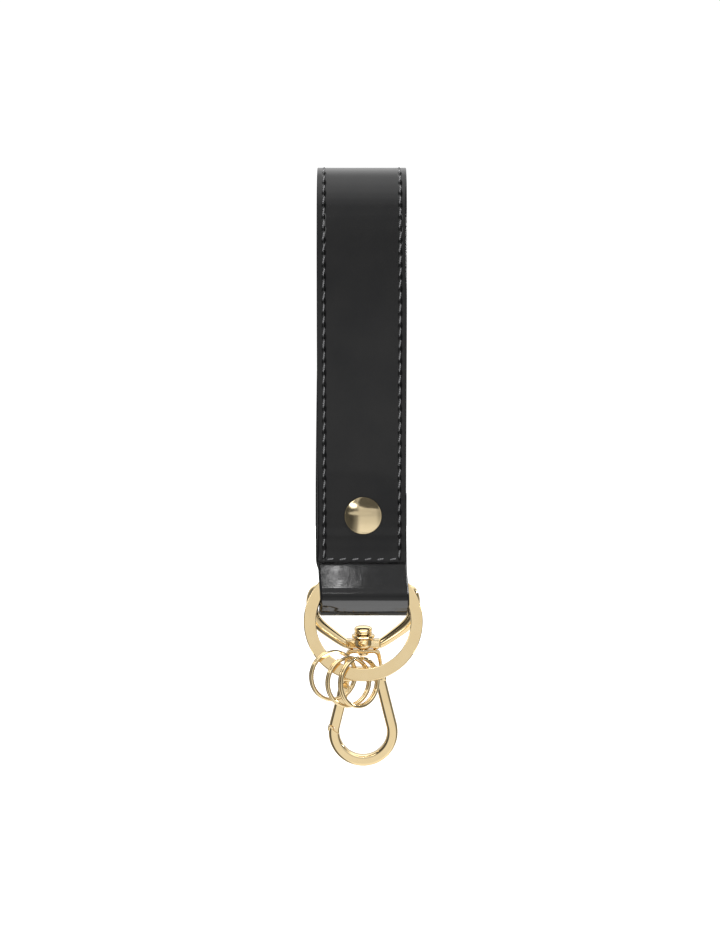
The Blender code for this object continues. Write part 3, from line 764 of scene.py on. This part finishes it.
def make_frame():
    # from the hub's block, round the arm and its bend, to the bar
    half = [
        (3.0, -16.95, 1.36), (3.6, -16.9, 1.38), (5.6, -16.3, 1.45), (9.4, -13.7, 1.62),
        (13.1, -10.75, 1.80), (14.75, -8.2, 1.78), (15.2, -5.0, 1.72), (15.2, -2.9, 1.7),
        (14.3, -0.85, 1.7), (12.3, 0.0, 1.7),
    ]
    right = [tuple(p) for p in smooth_path(half, 0.4)]
    left = [(-x, z, r) for x, z, r in reversed(right)]
    matrix = frame_matrix()
    deposit("frame_wire", tube(right + left), "frame", [GOLD], matrix, 60, ("swivel_frame",))
    section = rounded_box_section(1.6, 1.3, 0.55, 5)
    right_end = [(2.0, 1.0), (4.7, 1.0), (5.05, 0.93), (5.25, 0.80)]
    stations = [(-x, scale) for x, scale in reversed(right_end)] + right_end
    rings = [[(x, p.x * scale, -16.45 + p.y * scale) for p in section] for x, scale in stations]
    deposit("frame_block", skin(rings), "frame", [GOLD], matrix, 40)
    hub = [(1.3, -18.0), (1.75, -18.0)]
    hub += [(p.x, p.y) for p in arc((1.3, -16.35), 1.62, -80, 0, 10)]
    hub += [(2.92, -15.9), (2.92, -15.35)]
    hub += [(p.x, p.y) for p in arc((2.6, -15.28), 0.33, 0, 90, 18)]
    hub += [(1.3, -14.95)]
    deposit("frame_hub", revolve_band(hub, 64), "frame", [GOLD], matrix, 40)


def make_post():
    head_r = 2.7
    profile = [(0, -11.1)]
    for k in range(1, 12):
        a = math.radians(90 - 90 * k / 11)
        profile.append((head_r * math.cos(a) ** 0.9, -12.0 + 0.9 * math.sin(a)))
    # the groove under the dome, the shank, and the peened foot inside the yoke
    profile += [(head_r, -12.6), (head_r - 0.1, -12.75), (head_r - 0.1, -12.95), (head_r, -13.1)]
    profile += [(head_r, -13.35), (head_r - 0.16, -13.55), (1.1, -13.55), (1.1, -19.4)]
    profile += [(1.7, -19.4), (1.6, -19.85), (1.25, -20.15), (0, -20.2)]
    bm = revolve(profile, 72)
    deposit("swivel_post_look", bm, "hook", [GOLD], frame_matrix(), 40, ("swivel_post",))
    middle = (-13.7 - 14.8) / 2
    rim = [(min(p.x, 3.5), middle + p.y * 0.95) for p in arc((3.05, 0.0), 0.52, 78, -78, 13)]
    bm = revolve_band([(1.3, -13.72)] + rim + [(1.3, -14.78)], 72)
    deposit("washer_look", bm, "hook", [GOLD], frame_matrix(), 40, ("swivel_washer",))


# ---------------------------------------------------------------- snap hook


def sweep(path, section, widths=None):
    """A section swept along a path in X and Z; the section's first axis lies across, its second along Y."""
    rings = []
    for k, here in enumerate(path):
        run = (path[min(k + 1, len(path) - 1)] - path[max(k - 1, 0)]).normalized()
        across = Vector((-run.y, run.x))
        wide = widths[k] if widths else 1.0
        rings.append([(here.x + across.x * u * wide, v, here.y + across.y * u * wide) for u, v in section])
    return skin(rings)


def cut_and_close(bm, geometry, offset, **cleared):
    """Cut geometry on the sloping seam plane, moved up by an offset, and close what is left."""
    cut = bmesh.ops.bisect_plane(
        bm, geom=geometry, plane_co=SEAM_CENTRE + SEAM_NORMAL * offset, plane_no=SEAM_NORMAL, **cleared
    )
    edges = [e for e in cut["geom_cut"] if isinstance(e, bmesh.types.BMEdge)]
    bmesh.ops.contextual_create(bm, geom=edges)


def bulb(left_end_deg, from_z):
    """The hook bar's axis from its right-hand top, round the bulb, to an angle on the left."""
    top = Vector((BULB_TOUCH.x - (from_z - BULB_TOUCH.y) * math.tan(TAPER), from_z))
    straight = [top.lerp(BULB_TOUCH, k / 12) for k in range(12)]
    return straight + arc((0, BULB_Z), BULB_R, math.degrees(TAPER), left_end_deg, 3)


BAR_SECTION = rounded_box_section(HOOK_HALF, HOOK_HALF, 0.92, 6)


def rounded_outline(corners, steps=8):
    """A closed outline through (X, Z, radius) corners, each rounded to its radius."""
    outline = []
    count = len(corners)
    for k, (x, z, radius) in enumerate(corners):
        here = Vector((x, z))
        back = (Vector(corners[k - 1][:2]) - here).normalized()
        ahead = (Vector(corners[(k + 1) % count][:2]) - here).normalized()
        half = back.angle(ahead) / 2
        start = here + back * (radius / math.tan(half))
        end = here + ahead * (radius / math.tan(half))
        middle = here + (back + ahead).normalized() * (radius / math.sin(half))
        for i in range(steps + 1):
            spoke = (start - middle).lerp(end - middle, i / steps).normalized()
            outline.append(middle + spoke * radius)
    return outline


def rounded_plate(outline, half_depth, edge, steps=4):
    """A flat plate of an outline in X and Z, its edges rounded by insetting."""
    count = len(outline)
    inward = []
    for k in range(count):
        run = (outline[(k + 1) % count] - outline[k - 1]).normalized()
        inward.append(Vector((-run.y, run.x)))
    area = sum(outline[k - 1].x * outline[k].y - outline[k].x * outline[k - 1].y for k in range(count))
    flip = 1 if area > 0 else -1
    rings = []
    angles = [math.radians(90 * i / steps) for i in range(steps + 1)]
    rounding = [((1 - math.cos(a)) * edge, math.sin(a) * edge) for a in angles]
    layers = [(inset, -half_depth + edge - up) for inset, up in reversed(rounding)]
    layers += [(inset, half_depth - edge + up) for inset, up in rounding]
    for inset, y in layers:
        shift = inset * flip
        rings.append([(p.x + n.x * shift, y, p.y + n.y * shift) for p, n in zip(outline, inward)])
    return skin(rings)


def pin_place():
    """The gate's pin, on the axis of the left-hand straight."""
    return Vector((-(BULB_TOUCH.x - (PIN_DEPTH - BULB_TOUCH.y) * math.tan(TAPER)), PIN_DEPTH))


def crosswise(matrix, place):
    """A matrix that lays the Z axis of a revolved piece along Y at an (X, Z) place."""
    return matrix @ Matrix.Translation((place.x, 0, place.y)) @ Matrix.Rotation(math.pi / 2, 4, "X")


def make_hook_bar(matrix):
    bar = sweep(bulb(-200, -7.0), BAR_SECTION)
    # only the left-hand end is cut, where the gate takes over
    left = [v for v in bar.verts if v.co.x < -5 and (v.co - SEAM_CENTRE).dot(SEAM_NORMAL) > -8]
    faces = [f for f in bar.faces if all(v in set(left) for v in f.verts)]
    geometry = faces + list({e for f in faces for e in f.edges}) + left
    cut_and_close(bar, geometry, -SEAM_GAP / 2, clear_outer=True)
    deposit("hook_bar", bar, "hook", [GOLD], matrix, 35, ("hook_body",))


def make_yoke(matrix):
    outer = rounded_outline([(-4.95, 0.0, 1.7), (4.95, 0.0, 1.7), (6.1, -6.2, 0.5), (-6.1, -6.2, 0.5)])
    inner = rounded_outline([(-3.95, -1.0, 1.05), (3.95, -1.0, 1.05), (5.0, -5.8, 0.3), (-5.0, -5.8, 0.3)])
    # each edge as (distance in from the side, distance in from the face)
    edge = [(0.24, 0.0), (0.07, 0.07), (0.0, 0.24)]
    rings = []
    for o, i in zip(outer, inner):
        out = (o - i).normalized()
        ring = [(o.x - out.x * e, -HOOK_HALF + d, o.y - out.y * e) for e, d in edge]
        ring += [(o.x - out.x * e, HOOK_HALF - d, o.y - out.y * e) for e, d in reversed(edge)]
        ring += [(i.x + out.x * e, HOOK_HALF - d, i.y + out.y * e) for e, d in edge]
        ring += [(i.x + out.x * e, -HOOK_HALF + d, i.y + out.y * e) for e, d in reversed(edge)]
        rings.append(ring)
    deposit("hook_yoke", skin(rings, closed=True), "hook", [GOLD], matrix, 40)


def make_hook():
    matrix = hook_matrix()
    make_hook_bar(matrix)
    make_yoke(matrix)
    crossbar = rounded_outline([(-5.95, -5.4, 0.7), (5.95, -5.4, 0.7), (7.25, -9.5, 0.8), (-7.25, -9.5, 0.8)])
    plate = rounded_plate(crossbar, HOOK_HALF, 0.55)
    deposit("hook_crossbar", plate, "hook", [GOLD], matrix, 40)
    pin = pin_place()
    tongue = [Vector((pin.x + 1.9, -8.9)), Vector((pin.x - 1.0, -8.9))] + arc(pin, 1.3, 180, 360, 12)
    deposit("hook_tongue", rounded_plate(tongue, 0.7, 0.15), "hook", [GOLD], matrix, 40)
    profile = [(0, -1.62), (0.3, -1.62), (0.45, -1.5), (0.45, 1.5), (0.3, 1.62), (0, 1.62)]
    bm = revolve(profile, 32)
    deposit("hinge_pin_look", bm, "hook", [GOLD], crosswise(matrix, pin), 40, ("gate_pin",))
    r = NOSE_R
    profile = [(0, -1.45), (r - 0.2, -1.45), (r, -1.25), (r, 1.25), (r - 0.2, 1.45), (0, 1.45)]
    bm = revolve(profile, 40)
    deposit("hook_nose", bm, "hook", [GOLD], crosswise(matrix, NOSE), 40)


def cut_through(piece, outline, half_depth, matrix):
    """Cut an outline in X and Z through a piece, from front to back."""
    bm = skin([[(p.x, y, p.y) for p in outline] for y in (-half_depth, half_depth)])
    bmesh.ops.recalc_face_normals(bm, faces=bm.faces)
    bmesh.ops.transform(bm, matrix=matrix, verts=bm.verts)
    bmesh.ops.scale(bm, vec=(MM, MM, MM), verts=bm.verts)
    mesh = bpy.data.meshes.new("cutter")
    bm.to_mesh(mesh)
    bm.free()
    cutter = bpy.data.objects.new("cutter", mesh)
    bpy.context.scene.collection.objects.link(cutter)
    change = piece.modifiers.new("cut", "BOOLEAN")
    change.operation = "DIFFERENCE"
    change.object = cutter
    change.solver = "EXACT"
    result = bpy.data.meshes.new_from_object(piece.evaluated_get(bpy.context.evaluated_depsgraph_get()))
    piece.modifiers.clear()
    piece.data = result
    bpy.data.objects.remove(cutter)


def make_gate():
    """The gate: a bar as wide as the hook's, from its rounded, slotted top down to the seam."""
    matrix = hook_matrix()
    pin = pin_place()
    touch = Vector((-BULB_TOUCH.x, BULB_TOUCH.y))
    run = (pin - touch).normalized()
    path = arc((0, BULB_Z), BULB_R, 205, 180 - math.degrees(TAPER), 3)[:-1]
    path += [touch.lerp(pin, k / 14) for k in range(15)]
    widths = [1.0] * len(path)
    for k in range(1, 9):
        a = math.radians(90 * k / 8)
        path.append(pin + run * (HOOK_HALF * math.sin(a)))
        widths.append(max(0.05, math.cos(a)))
    bm = sweep(path, rounded_box_section(HOOK_HALF, HOOK_HALF, 0.8, 5), widths)
    cut_and_close(bm, bm.verts[:] + bm.edges[:] + bm.faces[:], SEAM_GAP / 2, clear_inner=True)
    gate = deposit("gate_look", bm, "gate", [GOLD], matrix, 35, ("gate",))
    across = Vector((-run.y, run.x))
    slot = [(-3.0, 3.2), (3.0, 3.2), (3.0, -2.1), (-3.0, -2.1)]
    cut_through(gate, [pin + across * a + run * b for a, b in slot], 0.95, matrix)
    room = NOSE_R + NOSE_CLEARANCE
    notch = arc((NOSE.x, NOSE.y), room, -90, 90, 10)
    notch += [Vector((NOSE.x - 3.0, NOSE.y + room)), Vector((NOSE.x - 3.0, NOSE.y - room))]
    cut_through(gate, notch, 3.0, matrix)
    gate.data.shade_smooth()
    gate.data.set_sharp_from_angle(angle=math.radians(35))


def dress_small_nodes():
    """CAD nodes that keep their own shape get finished materials."""
    for name, look in (("rivet_post", CAP_GOLD), ("gate_plunger", STEEL), ("gate_spring", STEEL)):
        mesh = NODES[name].data
        mesh.materials.clear()
        mesh.materials.append(look)


# ---------------------------------------------------------------- stage


# studio brightness as (place from 0 to 1, share of SKY_SCALE): by height from below to above, and from
# left to right
SKY_SCALE = 4.0
SKY_BY_HEIGHT = [
    (0.0, 0.26), (0.12, 0.27), (0.25, 0.25), (0.31, 0.225), (0.36, 0.21), (0.45, 0.195),
    (0.49, 0.165), (0.58, 0.155), (0.63, 0.175), (0.668, 0.205), (0.72, 0.21), (0.765, 0.28),
    (0.84, 0.40), (0.92, 0.52), (0.98, 0.60), (1.0, 0.60),
]
SKY_BY_SIDE = [
    (0.0, 0.30), (0.12, 0.12), (0.24, 0.09), (0.34, 0.30), (0.42, 1.0),
    (0.78, 1.0), (0.86, 0.60), (0.94, 0.20), (1.0, 0.25),
]
FLOOR_Z = -0.34
FLOOR_RADIUS = 6.0
BACKDROP = 1.05


def card(name, centre, size, strength, toward):
    """A soft area light that faces a point."""
    data = bpy.data.lights.new(name, "AREA")
    data.shape = "RECTANGLE"
    data.size, data.size_y = size
    data.energy = strength
    light = bpy.data.objects.new(name, data)
    bpy.context.scene.collection.objects.link(light)
    light.location = centre
    direction = Vector(toward) - Vector(centre)
    light.rotation_euler = direction.to_track_quat("-Z", "Y").to_euler()
    return light


def stage_material(name, colour, strength):
    made, tree, shader = shader_of(name, Roughness=0.9)
    place = object_place(tree)
    grain = noise_of(tree, place, 60.0, 2.0)
    tint = tuple(c * 0.985 for c in colour[:3]) + (1,)
    paint(tree, shader, grain, colour, tint)
    shader.inputs["Emission Color"].default_value = (1, 1, 1, 1)
    shader.inputs["Emission Strength"].default_value = strength
    return made


def make_stage():
    look = stage_material("pale_floor_look", (0.9, 0.9, 0.9, 1), 0.55)
    bpy.ops.mesh.primitive_circle_add(
        vertices=128, radius=FLOOR_RADIUS, fill_type="NGON", location=(0, 0, FLOOR_Z)
    )
    floor = bpy.context.object
    floor.name = "floor"
    floor.data.materials.append(look)
    floor.visible_glossy = False
    world = bpy.data.worlds.new("studio")
    bpy.context.scene.world = world
    world.use_nodes = True
    tree = world.node_tree
    toward = node(tree, "ShaderNodeTexCoord").outputs["Generated"]
    way = node(tree, "ShaderNodeSeparateXYZ", {"Vector": toward})
    up_down = levels(tree, ramp(tree, way.outputs["Z"], -1.0, 1.0, 0.0, 1.0), SKY_BY_HEIGHT)
    left_right = levels(tree, ramp(tree, way.outputs["X"], -1.0, 1.0, 0.0, 1.0), SKY_BY_SIDE)
    behind = ramp(tree, way.outputs["Y"], 0.15, 0.5, 0.0, 1.0)
    sideways = maths(tree, "MAXIMUM", left_right, behind)
    boosted = maths(tree, "MULTIPLY", maths(tree, "MULTIPLY", up_down, sideways), SKY_SCALE)
    # the camera sees an even backdrop; everything else sees the studio
    seen = node(tree, "ShaderNodeLightPath").outputs["Is Camera Ray"]
    strength = node(tree, "ShaderNodeMix", {"Factor": seen, 2: boosted, 3: BACKDROP})
    tree.links.new(strength.outputs[0], tree.nodes["Background"].inputs["Strength"])
    tree.nodes["Background"].inputs["Color"].default_value = (1, 1, 1, 1)


def levels(tree, value, stops):
    """A smooth grey ramp through (place, level) stops."""
    made = tree.nodes.new("ShaderNodeValToRGB")
    made.color_ramp.interpolation = "EASE"
    tree.links.new(value, made.inputs["Fac"])
    elements = made.color_ramp.elements
    while len(elements) > 1:
        elements.remove(elements[-1])
    for k, (place, level) in enumerate(stops):
        element = elements[0] if k == 0 else elements.new(place)
        element.position = place
        element.color = (level, level, level, 1)
    return made.outputs["Color"]


def flag(name, centre, size, level, facing=(0, 1, 0), soften=0.0):
    """A grey oval card that only reflections see, and only from the side it faces."""
    bpy.ops.mesh.primitive_circle_add(vertices=64, radius=0.5, fill_type="NGON", location=centre)
    made = bpy.context.object
    made.name = name
    made.rotation_euler = Vector(facing).to_track_quat("Z", "Y").to_euler()
    made.scale = (size[0], size[1], 1)
    look = bpy.data.materials.new(name + "_look")
    look.use_nodes = True
    tree = look.node_tree
    tree.nodes.clear()
    glow = node(tree, "ShaderNodeEmission", {"Strength": level})
    clear = node(tree, "ShaderNodeBsdfTransparent")
    out = node(tree, "ShaderNodeVectorMath", {0: object_place(tree)}, operation="LENGTH").outputs["Value"]
    fade = ramp(tree, out, 0.5, 0.5 - soften / 2 - 0.001, 0.0, 1.0)
    front = maths(tree, "SUBTRACT", 1.0, node(tree, "ShaderNodeNewGeometry").outputs["Backfacing"])
    sides = {1: clear.outputs["BSDF"], 2: glow.outputs["Emission"]}
    mixed = node(tree, "ShaderNodeMixShader", {"Fac": maths(tree, "MULTIPLY", fade, front), **sides})
    surface = node(tree, "ShaderNodeOutputMaterial")
    tree.links.new(mixed.outputs["Shader"], surface.inputs["Surface"])
    made.data.materials.append(look)
    made.visible_camera = False
    made.visible_diffuse = False
    made.visible_shadow = False


def make_lights():
    card("right_strip", (0.60, 0.14, 0.075), (0.12, 0.07), 0.80, (0, 0, -0.02))
    card("stitch_lamp", (0.22, -0.40, 0.36), (0.10, 0.10), 2.5, (0, 0, -0.05)).visible_glossy = False
    # the bright patch on the leather tab; the two doors mask its lamp from the leather around it
    flag("patch_lamp", (-0.0195, -0.608, 0.240), (0.020, 0.020), 34.0, soften=0.6)
    flag("lamp_door", (-0.0135, -0.300, 0.110), (0.090, 0.036), 0.82)
    flag("end_door", (-0.006, -0.030, -0.0970), (0.040, 0.0058), 0.72)
    # the rivet cap's highlight and its dark upper part
    flag("cap_lamp", (-0.158, -0.28, 0.057), (0.135, 0.080), 4.0, (0.45, 0.77, -0.45), 0.25)
    lean = math.radians(13)
    away = (0, -math.sin(lean), -math.cos(lean))
    flag("cap_shade", (0.0185, -0.016, -0.0914), (0.048, 0.048), 0.10, away, 0.1)
    # the grey band on the rounded bottom of the fold; the door keeps its glow off the panel's end
    flag("panel_door", (0.0, -0.0125, -0.1215), (0.070, 0.013), 0.10, (0, 0, 1))
    flag("fold_glow", (0.0, -0.0175, -0.1425), (0.080, 0.020), 4.4, (0, -0.2, 0.98), 0.1)


def make_camera():
    data = bpy.data.cameras.new("camera")
    camera = bpy.data.objects.new("camera", data)
    bpy.context.scene.collection.objects.link(camera)
    distance = 0.43
    height_seen = 0.2792
    data.sensor_fit = "VERTICAL"
    data.sensor_height = 36.0
    data.lens = data.sensor_height * distance / height_seen
    camera.location = (-0.00095, -distance, -0.0868)
    camera.rotation_euler = (math.pi / 2, 0, 0)
    data.clip_start = 0.01
    data.clip_end = 50.0
    bpy.context.scene.camera = camera


make_camera()
make_strap()
make_stitches()
make_rivet()
make_rings()
make_frame()
make_post()
make_hook()
make_gate()
dress_small_nodes()
make_stage()
make_lights()
bpy.context.scene.view_settings.view_transform = "Standard"
